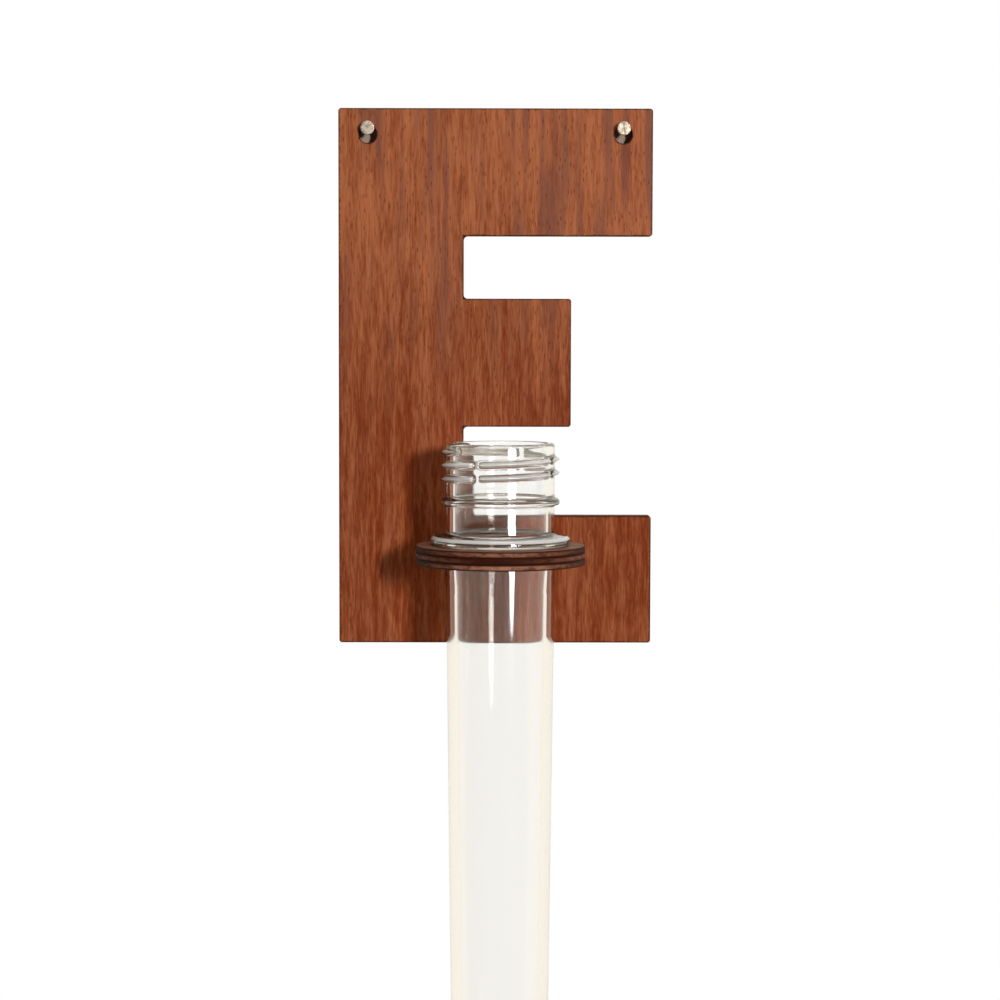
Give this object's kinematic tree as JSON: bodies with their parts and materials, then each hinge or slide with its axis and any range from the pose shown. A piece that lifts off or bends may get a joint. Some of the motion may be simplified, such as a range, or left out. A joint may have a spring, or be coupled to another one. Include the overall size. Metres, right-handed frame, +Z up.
{
  "type": "propagation vase",
  "caption": "Wall-hung propagation vase: a block-letter plywood board with a tabbed plywood ring that holds a clear screw-neck tube, lifted out for filling.",
  "frame": {"origin": "on the wall plane, at the back of the board, midway between the two nail axes", "axes": "+X to the right seen from the front, +Y into the wall, +Z up along the tube"},
  "size_m": [0.0764, 0.0704, 0.2314],
  "materials": {
    "face_veneer": "oiled red-brown veneer with laser-darkened edges",
    "core_veneer": "cross-grained core, laser-darkened at its edges",
    "clear_tube": "clear glossy moulded plastic",
    "nail_steel": "dull bare steel"
  },
  "bodies": {
    "plaque": {"letter_front_ply": "face_veneer", "letter_core_ply": "core_veneer", "letter_back_ply": "face_veneer", "ring_top_ply": "face_veneer", "ring_core_ply": "core_veneer", "ring_bottom_ply": "face_veneer", "nail_left": "nail_steel", "nail_right": "nail_steel"},
    "tube": {"tube": "clear_tube"}
  },
  "joints": [
    {"name": "tube_lift", "type": "slide", "parent": "plaque", "child": "tube", "axis": [0, 0, 1], "range_m": [0, 0.135]}
  ]
}
